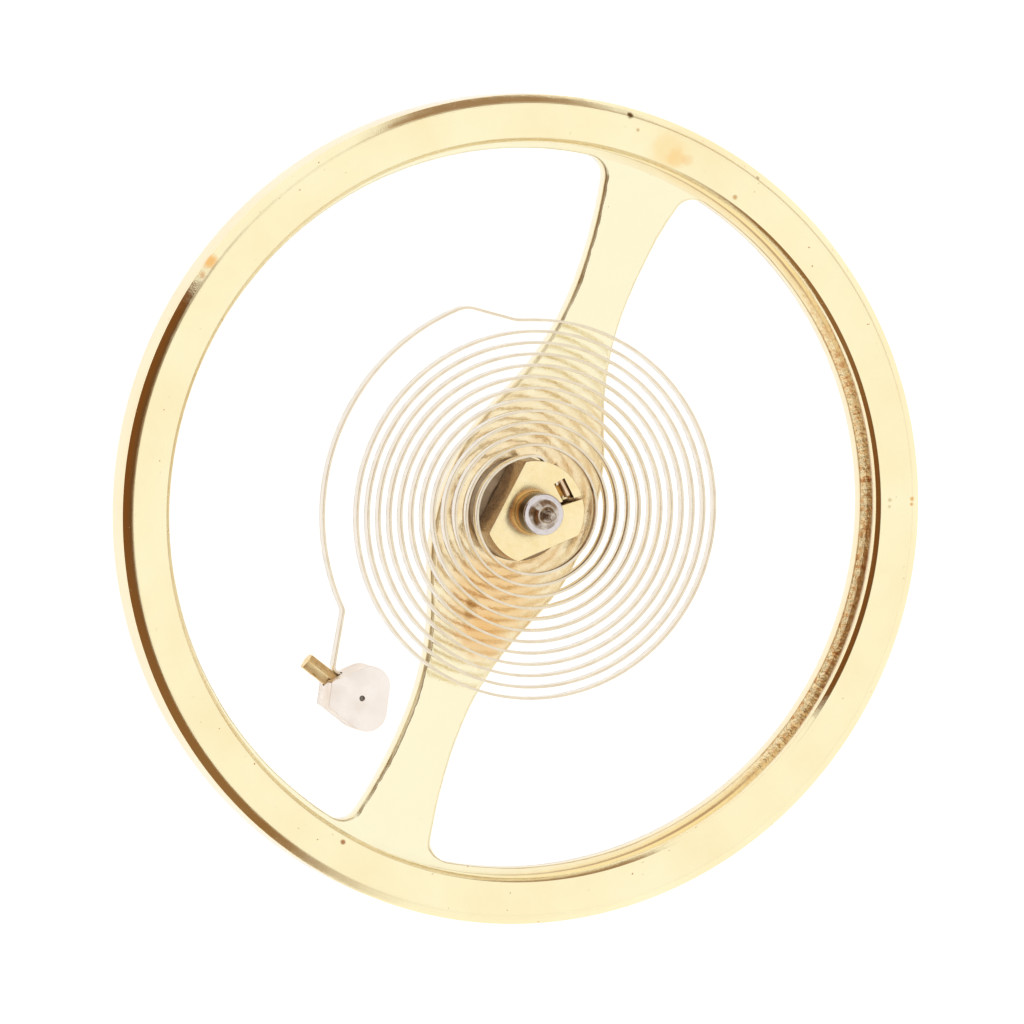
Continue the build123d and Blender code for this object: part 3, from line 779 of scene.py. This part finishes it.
def make_staff(material):
    """Turned in one piece, from the lower pivot to the upper one."""
    cone_r = NOSE_R - NOSE_ROUND - NOSE_LAND
    top = STAFF_TOP_Z - SLACK
    tip_r = PIVOT_R - PIVOT_ROUND
    lower_tip = arc((tip_r, SLACK + PIVOT_ROUND), (tip_r, SLACK), 90, steps=6)
    lower_cone, _, _, _ = tangent_arc((PIVOT_R, PIVOT_LENGTH), (0, 1), (ROLLER_SEAT_R, ROLLER_SEAT_Z), 16)
    upper_cone, _, _, _ = tangent_arc((PIVOT_R, UPPER_PIVOT_Z), (0, -1), (cone_r, NOSE_TOP_Z), 16)
    upper_tip = arc((tip_r, top - PIVOT_ROUND), (PIVOT_R, top - PIVOT_ROUND), 90, steps=6)
    body = rounded([
        (ROLLER_SEAT_R, ROLLER_SEAT_Z, 0),
        (ROLLER_SEAT_R, TABLE_TOP_Z, 0),
        (STAFF_BODY_R, TABLE_TOP_Z, 0.01),
        (STAFF_BODY_R, FLANGE_Z, 0.02),
        (FLANGE_R - FLANGE_CHAMFER, FLANGE_Z, 0.01),
        (FLANGE_R, FLANGE_Z + FLANGE_CHAMFER, 0.01),
        (FLANGE_R, ARM_Z, 0),
        (WHEEL_SEAT_R, ARM_Z, 0),
        (WHEEL_SEAT_R, ARM_TOP_Z, 0),
        (WHEEL_SEAT_R + RIVET_LIP, ARM_TOP_Z, 0),
        (WHEEL_SEAT_R + RIVET_LIP - RIVET_LIP_RISE, ARM_TOP_Z + RIVET_LIP_RISE, 0.012),
        (WHEEL_SEAT_R - 0.01, RIVET_TOP_Z, 0.02),
        (COLLET_SEAT_R, RIVET_TOP_Z, 0),
        (COLLET_SEAT_R, SEAT_TOP_Z, 0),
        (NOSE_R, SEAT_TOP_Z, 0),
        (NOSE_R, NOSE_TOP_Z, NOSE_ROUND),
        (cone_r, NOSE_TOP_Z, 0),
    ], steps=8)
    profile = [(0, SLACK), *lower_tip, *lower_cone, *body[1:-1], *reversed(upper_cone), *upper_tip, (0, top)]
    staff = lathe("balance_staff_steel", profile, STAFF_SIDES)
    dress(staff, "balance_staff", material)


# Rollers, jewel and shellac, under the wheel
TABLE_Z = 0.88
ROLLER_HUB_Z = 0.70
SAFETY_ROLLER_Z = 0.42
TABLE_R = 0.68
ROLLER_HUB_R = 0.32
SAFETY_ROLLER_R = 0.34
CRESCENT_R = 0.12
CRESCENT_DEPTH = 0.06
JEWEL_ANGLE = 270
JEWEL_ORBIT_R = 0.52
JEWEL_R = 0.11
JEWEL_FLAT_AT = 0.06
JEWEL_Z = 0.60
JEWEL_TOP_Z = 1.13
JEWEL_AT = polar(JEWEL_ORBIT_R, JEWEL_ANGLE)
JEWEL_EDGE = 0.012
SHELLAC_WIDTH = 0.04
SHELLAC_RISE = 0.05
SHELLAC_ROUND = 0.04
FIT_GAP = 0.003
BORE_R = ROLLER_SEAT_R + FIT_GAP
CUT_PAST = 0.1


def jewel_outline(gap):
    """The jewel's section, round with one flat side away from the staff, turning left."""
    half = math.degrees(math.acos((JEWEL_FLAT_AT + gap) / (JEWEL_R + gap)))
    start = JEWEL_AT + polar(JEWEL_R + gap, JEWEL_ANGLE + half)
    return arc(JEWEL_AT, start, 360 - 2 * half, steps=48)


def make_rollers(table_material, jewel_skin, shellac_skin):
    """The table and its hub, the safety roller, the jewel, and the shellac over its upper end."""
    profile = rounded([
        (BORE_R, ROLLER_HUB_Z, 0.01),
        (ROLLER_HUB_R, ROLLER_HUB_Z, 0.02),
        (ROLLER_HUB_R, TABLE_Z, 0.02),
        (TABLE_R, TABLE_Z, 0.02),
        (TABLE_R, TABLE_TOP_Z, 0.02),
        (BORE_R, TABLE_TOP_Z, 0.01),
    ], steps=5)
    table = lathe("impulse_roller_turned", profile, 192, closed=True)
    hole = jewel_outline(FIT_GAP)
    cut(table, prism("jewel_hole", hole, TABLE_Z - 2 * CUT_PAST, TABLE_TOP_Z + 2 * CUT_PAST))
    dress(table, "impulse_roller", table_material)

    foot, top = SAFETY_ROLLER_Z, ROLLER_HUB_Z
    profile = rounded([
        (BORE_R, foot, 0.008),
        (SAFETY_ROLLER_R, foot, 0.015),
        (SAFETY_ROLLER_R, top, 0.015),
        (BORE_R, top, 0.008),
    ], steps=5)
    safety = lathe("safety_roller_turned", profile, 160, closed=True)
    crescent = polar(SAFETY_ROLLER_R - CRESCENT_DEPTH + CRESCENT_R, JEWEL_ANGLE)
    below = Matrix.Translation((*crescent, foot - CUT_PAST))
    cut(safety, rod(CRESCENT_R, top - foot + 2 * CUT_PAST, below))
    dress(safety, "safety_roller", table_material)

    jewel = prism("impulse_jewel_ruby", jewel_outline(0), JEWEL_Z, JEWEL_TOP_Z, edge=JEWEL_EDGE, steps=4)
    dress(jewel, "impulse_jewel", jewel_skin)

    crown, rim_r = TABLE_TOP_Z + SHELLAC_RISE, JEWEL_R + SHELLAC_WIDTH
    round_z = crown - SHELLAC_ROUND
    skin = arc((rim_r - SHELLAC_ROUND, round_z), (rim_r, round_z), 90, steps=8)
    profile = [(0, TABLE_TOP_Z), (rim_r, TABLE_TOP_Z), *skin, (0, crown)]
    shellac = lathe("jewel_shellac_bead", profile, 96, Matrix.Translation((*JEWEL_AT, 0)))
    cut(shellac, prism("jewel_space", hole, TABLE_TOP_Z - CUT_PAST, JEWEL_TOP_Z + FIT_GAP / 3))
    dress(shellac, "jewel_shellac", shellac_skin)


# Hairspring, from the end inside the collet to the end inside the stud
COLLET_R = 0.62
SPRING_THICKNESS = 0.032
SPRING_HEIGHT = 0.15
SPRING_COLLET_GAP = 0.041
SPRING_PITCH = 0.1357
SPRING_TURNS = 12
SPRING_START_ANGLE = 111.7
SPRING_TAIL = 0.30
EXIT_BEND_R = 0.16
EXIT_BEND_TURN = 62.0
RUN_OUT = 0.205
RAMP_BEND_R = 0.30
RAMP_BEND_TURN = 15.0
ELBOW_R = 0.35
REGULATOR_GAP = 0.317
REGULATOR_SWEEP = 93.0
KINK_R = 0.12
KINK_TURN = 35.0
STUD_RUN = 0.63
MOUTH_BEND_R = 0.08
MOUTH_BEND_TURN = 62.6
MOUTH_RUN = 0.30
STRIP_EDGE = 0.004
STRAIGHT_STEPS = 4

START_R = COLLET_R + SPRING_COLLET_GAP + SPRING_THICKNESS / 2
REGULATOR_R = START_R + SPRING_TURNS * SPRING_PITCH + REGULATOR_GAP
TAIL_ANGLE = SPRING_START_ANGLE + 90 - EXIT_BEND_TURN
TAIL_WAY = polar(1, TAIL_ANGLE)
TAIL_SIDE = polar(1, TAIL_ANGLE - 90)
EXIT_START = polar(START_R - EXIT_BEND_R, SPRING_START_ANGLE) + TAIL_SIDE * EXIT_BEND_R


class Strip:
    """A path in the plan that goes on in straights and bends, with its way and length at each point."""

    def __init__(self, start, way):
        self.points = [(start, way, 0.0)]

    def straight(self, length):
        """On along its way."""
        start, way, run = self.points[-1]
        for step in range(1, STRAIGHT_STEPS + 1):
            part = length * step / STRAIGHT_STEPS
            self.points.append((start + way * part, way, run + part))

    def bend(self, radius, angle, step_angle=3.0):
        """To the left where the angle is positive."""
        start, way, run = self.points[-1]
        side = 1 if angle > 0 else -1
        centre = start + turned(way, 90 * side) * radius
        steps = max(2, math.ceil(abs(angle) / step_angle))
        for step in range(1, steps + 1):
            part = angle * step / steps
            place = centre + turned(start - centre, part)
            self.points.append((place, turned(way, part), run + radius * math.radians(abs(part))))


def spring_path():
    """The strip's path, and the lengths along it where the coil starts and ends."""
    strip = Strip(EXIT_START - TAIL_WAY * SPRING_TAIL, TAIL_WAY)
    strip.straight(SPRING_TAIL)
    strip.bend(EXIT_BEND_R, EXIT_BEND_TURN)
    coil_from = strip.points[-1][2]
    for half_turn in range(2 * SPRING_TURNS):
        strip.bend(START_R + (half_turn + 0.5) * SPRING_PITCH / 2, 180)
    coil_to = strip.points[-1][2]
    strip.straight(RUN_OUT)
    strip.bend(RAMP_BEND_R, -RAMP_BEND_TURN)
    # The ramp is as long as it takes the elbow to end in line with the regulator arc
    here, way, _ = strip.points[-1]
    elbow_from = here + turned(way, 90) * ELBOW_R
    gained = elbow_from.dot(way)
    ramp = math.sqrt(gained**2 - elbow_from.length_squared + (REGULATOR_R - ELBOW_R) ** 2) - gained
    strip.straight(ramp)
    end_way = turned(elbow_from + way * ramp, 90)
    strip.bend(ELBOW_R, math.degrees(way.angle(end_way)))
    strip.bend(REGULATOR_R, REGULATOR_SWEEP, 1.5)
    strip.bend(KINK_R, -KINK_TURN)
    strip.straight(STUD_RUN)
    strip.bend(MOUTH_BEND_R, MOUTH_BEND_TURN)
    mouth, mouth_way, _ = strip.points[-1]
    strip.straight(MOUTH_RUN)
    return strip.points, coil_from, coil_to, mouth, mouth_way


def make_hairspring(material, points, coil_from, coil_to):
    """A flat strip on edge, between the stud and the collet."""
    half_t, half_h = SPRING_THICKNESS / 2, SPRING_HEIGHT / 2
    corners = ((-half_t, -half_h), (half_t, -half_h), (half_t, half_h), (-half_t, half_h))
    section = rounded([(*corner, STRIP_EDGE) for corner in corners], steps=2)
    mesh = bmesh.new()
    rings = []
    for place, way, _ in points:
        left = turned(way, 90)
        rings.append([mesh.verts.new((*(place + left * across), SPRING_Z + up)) for across, up in section])
    bridge(mesh, rings)
    mesh.faces.new(rings[0])
    mesh.faces.new(rings[-1])
    spring = as_object(mesh, "hairspring_strip")
    dress(spring, "hairspring", material, body=None)
    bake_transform(spring)
    # A share of the winding is worked out for each point along the strip, all of it between the coil's two
    # ends, and not used
    weights = []
    for _, _, run in points:
        share = (coil_to - run) / (coil_to - coil_from)
        weights += [min(1.0, max(0.0, share))] * len(section)


# Collet and its pin
COLLET_FLAT_AT = 0.39
COLLET_FLAT_ANGLE = 173.7
COLLET_SIDE_FLAT_AT = 0.47
COLLET_SIDE_FLAT_ANGLE = 313.7
COLLET_SLIT_WIDTH = 0.038
COLLET_SLIT_ANGLE = 38.2
COLLET_BORE_R = 0.2515
COLLET_HOLE_R = 0.095
COLLET_HOLE_FROM = -0.0895
COLLET_GROOVE_TO = 0.19
COLLET_GROOVE_RISE = 0.02
COLLET_HOLES_OVERLAP = 0.01
COLLET_ROOF = 0.003
COLLET_PIN_LENGTH = 0.42
COLLET_PIN_R = 0.0536
COLLET_PIN_ROUND = 0.012
COLLET_STRIP_OFFSET = 0.0373
COLLET_PIN_OFFSET = 0.0354
COLLET_PIN_RECESS = 0.05


def collet_outline():
    """The collet's outside and bore as one closed ring, joined through the slit."""
    half_slit = COLLET_SLIT_WIDTH / 2
    outer_half = math.degrees(math.asin(half_slit / COLLET_R))
    bore_half = math.degrees(math.asin(half_slit / COLLET_BORE_R))
    cuts = []
    for at, angle in ((COLLET_FLAT_AT, COLLET_FLAT_ANGLE), (COLLET_SIDE_FLAT_AT, COLLET_SIDE_FLAT_ANGLE)):
        half = math.degrees(math.acos(at / COLLET_R))
        cuts.append((angle - half, angle + half))
    ring = []
    angle = COLLET_SLIT_ANGLE + outer_half
    end = COLLET_SLIT_ANGLE + 360 - outer_half
    for flat_from, flat_to in cuts:
        ring += arc((0, 0), polar(COLLET_R, angle), flat_from - angle, steps=60)
        angle = flat_to
    ring += arc((0, 0), polar(COLLET_R, angle), end - angle, steps=60)
    bore_from = polar(COLLET_BORE_R, end + outer_half - bore_half)
    return ring + arc((0, 0), bore_from, 2 * bore_half - 360, steps=120)


def make_collet(material, pin_material):
    """A ring with two flats and a slit, cross-drilled for the strip and its pin."""
    collet = prism("hairspring_collet_brass", collet_outline(), COLLET_Z, COLLET_TOP_Z)
    axis = TAIL_SIDE * (EXIT_START.dot(TAIL_SIDE) + COLLET_STRIP_OFFSET)
    # The drill breaks through the top beside the slit, and a thin roof is left over the rest
    inside = axis + TAIL_WAY * COLLET_GROOVE_TO - TAIL_WAY * COLLET_HOLES_OVERLAP
    covered = rod(COLLET_HOLE_R, 2 * COLLET_R, lying(inside, TAIL_WAY))
    for vertex in covered.data.vertices:
        vertex.co.z = min(vertex.co.z, COLLET_TOP_Z - COLLET_ROOF)
    cut(collet, covered)
    open_end = lying(axis + TAIL_WAY * COLLET_HOLE_FROM, TAIL_WAY, SPRING_Z + COLLET_GROOVE_RISE)
    cut(collet, rod(COLLET_HOLE_R, COLLET_GROOVE_TO - COLLET_HOLE_FROM, open_end))
    dress(collet, "hairspring_collet", material)

    out = math.sqrt(COLLET_R**2 - axis.length_squared) - COLLET_PIN_RECESS
    place = axis + TAIL_SIDE * COLLET_PIN_OFFSET + TAIL_WAY * (out - COLLET_PIN_LENGTH)
    end_r, top = COLLET_PIN_R - COLLET_PIN_ROUND, COLLET_PIN_LENGTH - COLLET_PIN_ROUND
    foot_round = arc((end_r, COLLET_PIN_ROUND), (end_r, 0), 90, steps=5)
    top_round = arc((end_r, top), (COLLET_PIN_R, top), 90, steps=5)
    profile = [(0, 0), *foot_round, *top_round, (0, COLLET_PIN_LENGTH)]
    pin = lathe("collet_pin_brass", profile, 64, lying(place, TAIL_WAY))
    dress(pin, "collet_pin", pin_material)


# Stud and its pin
STUD_SIDE = 1.135
STUD_CORNER_R = 0.24
STUD_TIP_CUT = 0.294
STUD_TIP_ROUND = 0.03
STUD_EDGE = 0.004
STUD_Z = 2.16
STUD_TOP_Z = 2.68
STUD_REACH = 0.375
STUD_HOLE_R = 0.132
STUD_STRIP_OFFSET = 0.089
STUD_MARK_R = 0.035
STUD_MARK_DEPTH = 0.05
STUD_MARK_WALL = 0.004
STUD_PIN_LENGTH = 0.94
STUD_PIN_REACH = 0.745
STUD_PIN_HALF_FLATS = 0.0936
STUD_PIN_AT = -0.0236
STUD_PIN_CORNER_ROUND = 0.012
STUD_PIN_END = 0.014


def make_stud(material, pin_material, mouth, way):
    """A three-sided prism, two of its corners rounded and one cut off, drilled along one side."""
    side = turned(way, 90)
    centre = mouth + way * STUD_REACH - side * STUD_STRIP_OFFSET
    reach = STUD_SIDE / math.sqrt(3)
    corners = []
    for angle, radius in ((90, STUD_CORNER_R), (210, 0), (330, STUD_CORNER_R)):
        tip = polar(reach, angle)
        if radius:
            corners.append((*tip, radius))
            continue
        for towards in (90, 330):
            cut_to = tip + (polar(reach, towards) - tip).normalized() * STUD_TIP_CUT
            corners.append((*cut_to, STUD_TIP_ROUND))
    level = placed((*centre, 0), way.to_3d(), side.to_3d(), UP)
    outline = rounded(corners, steps=14)
    stud = prism("hairspring_stud_steel", outline, STUD_Z, STUD_TOP_Z, level, edge=STUD_EDGE)
    cut(stud, rod(STUD_HOLE_R, 2 * STUD_SIDE, lying(centre - way * STUD_SIDE, way)))
    wall_z, past = STUD_MARK_DEPTH - STUD_MARK_WALL, 4 * STUD_MARK_DEPTH
    profile = [(0, 0), (STUD_MARK_R, wall_z), (STUD_MARK_R, past), (0, past)]
    mark_at = Matrix.Translation((*centre, STUD_TOP_Z - STUD_MARK_DEPTH))
    cut(stud, lathe("stud_mark", profile, 48, mark_at))
    dress(stud, "hairspring_stud", material, "stud")

    place = centre + side * STUD_PIN_AT - way * STUD_PIN_REACH
    corner_r = STUD_PIN_HALF_FLATS / math.cos(math.radians(30))
    corners = [(*polar(corner_r, 60 * index), STUD_PIN_CORNER_ROUND) for index in range(6)]
    hexagon = rounded(corners, steps=4)
    pin = prism("stud_pin_brass", hexagon, 0, STUD_PIN_LENGTH, lying(place, way), edge=STUD_PIN_END, steps=4)
    dress(pin, "stud_pin", pin_material, "stud")


gilt = gilt_material()
steel = steel_material()
collet_brass = collet_material()
pin_brass = metal_material("pin_brass", colour(255, 234, 182), colour(248, 218, 158), 0.34)
wedged_brass = metal_material("wedged_pin_brass", colour(242, 218, 184), colour(228, 200, 166), 0.2)
alloy = alloy_material()
stud_steel = stud_material()
roller_brass = metal_material("roller_brass", colour(252, 226, 162), colour(244, 212, 140), 0.14)
ruby = ruby_material()
shellac_brown = shellac_material()

make_wheel(gilt)
make_staff(steel)
make_rollers(roller_brass, ruby, shellac_brown)
path_points, coil_start, coil_end, mouth_at, mouth_way = spring_path()
make_hairspring(alloy, path_points, coil_start, coil_end)
make_collet(collet_brass, wedged_brass)
make_stud(stud_steel, pin_brass, mouth_at, mouth_way)


# Camera, at the photograph's angle: the tilt is off the staff's axis
CAMERA_TILT = 17.40
CAMERA_ROLL = 166.91
PHOTO_TURN = 21.7
CAMERA_DISTANCE = 120.0
PIXELS_PER_MM = 83.35
IMAGE_SIZE = 1024
SENSOR_WIDTH = 36
TARGET_PX = Vector((527.6, 510.76))


def make_camera():
    """Looks at the middle of the rim's top. Returns the way from there to the camera."""
    tilt, roll = math.radians(CAMERA_TILT), math.radians(CAMERA_ROLL)
    out = polar(1, CAMERA_ROLL + PHOTO_TURN).to_3d()
    across = turned(out.xy, 90).to_3d()
    lean = out * math.cos(tilt) - UP * math.sin(tilt)
    right = lean * math.cos(roll) - across * math.sin(roll)
    top = lean * math.sin(roll) + across * math.cos(roll)
    back = out * math.sin(tilt) + UP * math.cos(tilt)
    data = bpy.data.cameras.new("camera")
    camera = bpy.data.objects.new("camera", data)
    bpy.context.scene.collection.objects.link(camera)
    camera.matrix_world = placed((UP * RIM_TOP_Z + back * CAMERA_DISTANCE) * MM, right, top, back)
    data.sensor_width = SENSOR_WIDTH
    data.lens = PIXELS_PER_MM * CAMERA_DISTANCE * SENSOR_WIDTH / IMAGE_SIZE
    data.shift_x = (IMAGE_SIZE / 2 - TARGET_PX.x) / IMAGE_SIZE
    data.shift_y = (TARGET_PX.y - IMAGE_SIZE / 2) / IMAGE_SIZE
    data.clip_start = 0.001
    data.clip_end = 10
    bpy.context.scene.camera = camera
    return tuple(back)


VIEW_BACK = make_camera()

# Studio: a white room with a dark side low down, which the polished edges mirror
FLOOR_Z = -3.0
FLOOR_SIZE = 4000.0
FLOOR_SHADE = (0.8, 0.8, 0.8, 1)
FLOOR_GLOW = 0.60
FLOOR_MIRRORED_GLOW = 0.45

# What stands in the room. The shares of a turn round it, and the heights, at which each thing starts,
# is full, ends and is gone, and then how strong it is
LOW_DOWN = (-3.0, -2.0, 0.60, 0.72)
BAND = ((0.06, 0.12, 0.320, 0.336), (0.12, 0.24, 0.60, 0.72), 0.9)
SCREEN = ((0.210, 0.258, 0.305, 0.342), LOW_DOWN, 1.0)
SIDE = ((0.4475, 0.4515, 0.740, 0.820), LOW_DOWN, 1.0)
STAND = ((0.41, 0.45, 0.57, 0.62), (0.50, 0.62, 0.84, 0.92), 1.0)
LENS_INNER, LENS_OUTER = 9, 16

BAND_SHADE = (0.40, 0.25, 0.13, 1)
SCREEN_SHADE = (0.36, 0.24, 0.16, 1)
SIDE_SHADE = (0.19, 0.073, 0.022, 1)
SIDE_HIGH_SHADE = (0.12, 0.070, 0.036, 1)
SIDE_FAR_SHADE = (0.30, 0.17, 0.08, 1)
STAND_SHADE = (0.28, 0.165, 0.085, 1)
LENS_SHADE = (0.21, 0.13, 0.08, 1)


def make_floor():
    """Pale, and white where the camera or a polished face sees it."""
    mesh = bmesh.new()
    half = FLOOR_SIZE / 2
    corners = [(-half, -half), (half, -half), (half, half), (-half, half)]
    mesh.faces.new([mesh.verts.new((x * MM, y * MM, FLOOR_Z * MM)) for x, y in corners])
    floor = as_object(mesh, "floor")
    nodes = new_material("floor_white")
    ray = nodes.add("ShaderNodeLightPath").outputs
    mirrored = nodes.math("MAXIMUM", ray["Is Glossy Ray"], ray["Is Transmission Ray"])
    glow = nodes.raised(nodes.times(ray["Is Camera Ray"], FLOOR_GLOW), mirrored, FLOOR_MIRRORED_GLOW)
    diffuse = nodes.add("ShaderNodeBsdfDiffuse", Color=FLOOR_SHADE)
    lit = nodes.add("ShaderNodeEmission", Color=WHITE, Strength=glow)
    both = nodes.add("ShaderNodeAddShader", i0=diffuse.outputs[0], i1=lit.outputs[0])
    nodes.add("ShaderNodeOutputMaterial", Surface=both.outputs[0])
    floor.data.materials.append(nodes.owner)


def make_world():
    """White to the camera. Polished faces mirror a dark side, a tan screen and the camera."""
    world = bpy.data.worlds.new("studio")
    bpy.context.scene.world = world
    nodes = Nodes(world)
    way = nodes.add("ShaderNodeTexCoord").outputs["Generated"]
    x, y, z = nodes.add("ShaderNodeSeparateXYZ", i0=way).outputs
    azimuth = nodes.math("ARCTAN2", y, x)
    share = nodes.math("FRACT", nodes.math("ADD", nodes.math("DIVIDE", azimuth, 2 * math.pi), 1.0))
    dark = nodes.mix(nodes.span(z, 0.33, 0.46), SIDE_SHADE, SIDE_HIGH_SHADE)
    dark = nodes.mix(nodes.span(share, 0.55, 0.78), dark, SIDE_FAR_SHADE)
    things = ((BAND, BAND_SHADE), (SCREEN, SCREEN_SHADE), (SIDE, dark), (STAND, STAND_SHADE))
    room = WHITE
    for (around, heights, strength), shade in things:
        there = nodes.times(nodes.between(share, *around), nodes.between(z, *heights))
        room = nodes.mix(nodes.times(there, strength), room, shade)
    outer, inner = math.cos(math.radians(LENS_OUTER)), math.cos(math.radians(LENS_INNER))
    room = nodes.mix(nodes.span(nodes.dot(way, VIEW_BACK), outer, inner), room, LENS_SHADE)
    seen = nodes.mix(nodes.add("ShaderNodeLightPath").outputs["Is Camera Ray"], room, WHITE)
    background = nodes.add("ShaderNodeBackground", Color=seen, Strength=1.0)
    nodes.add("ShaderNodeOutputWorld", Surface=background.outputs[0])


make_floor()
make_world()

bpy.context.scene.view_settings.view_transform = "Standard"
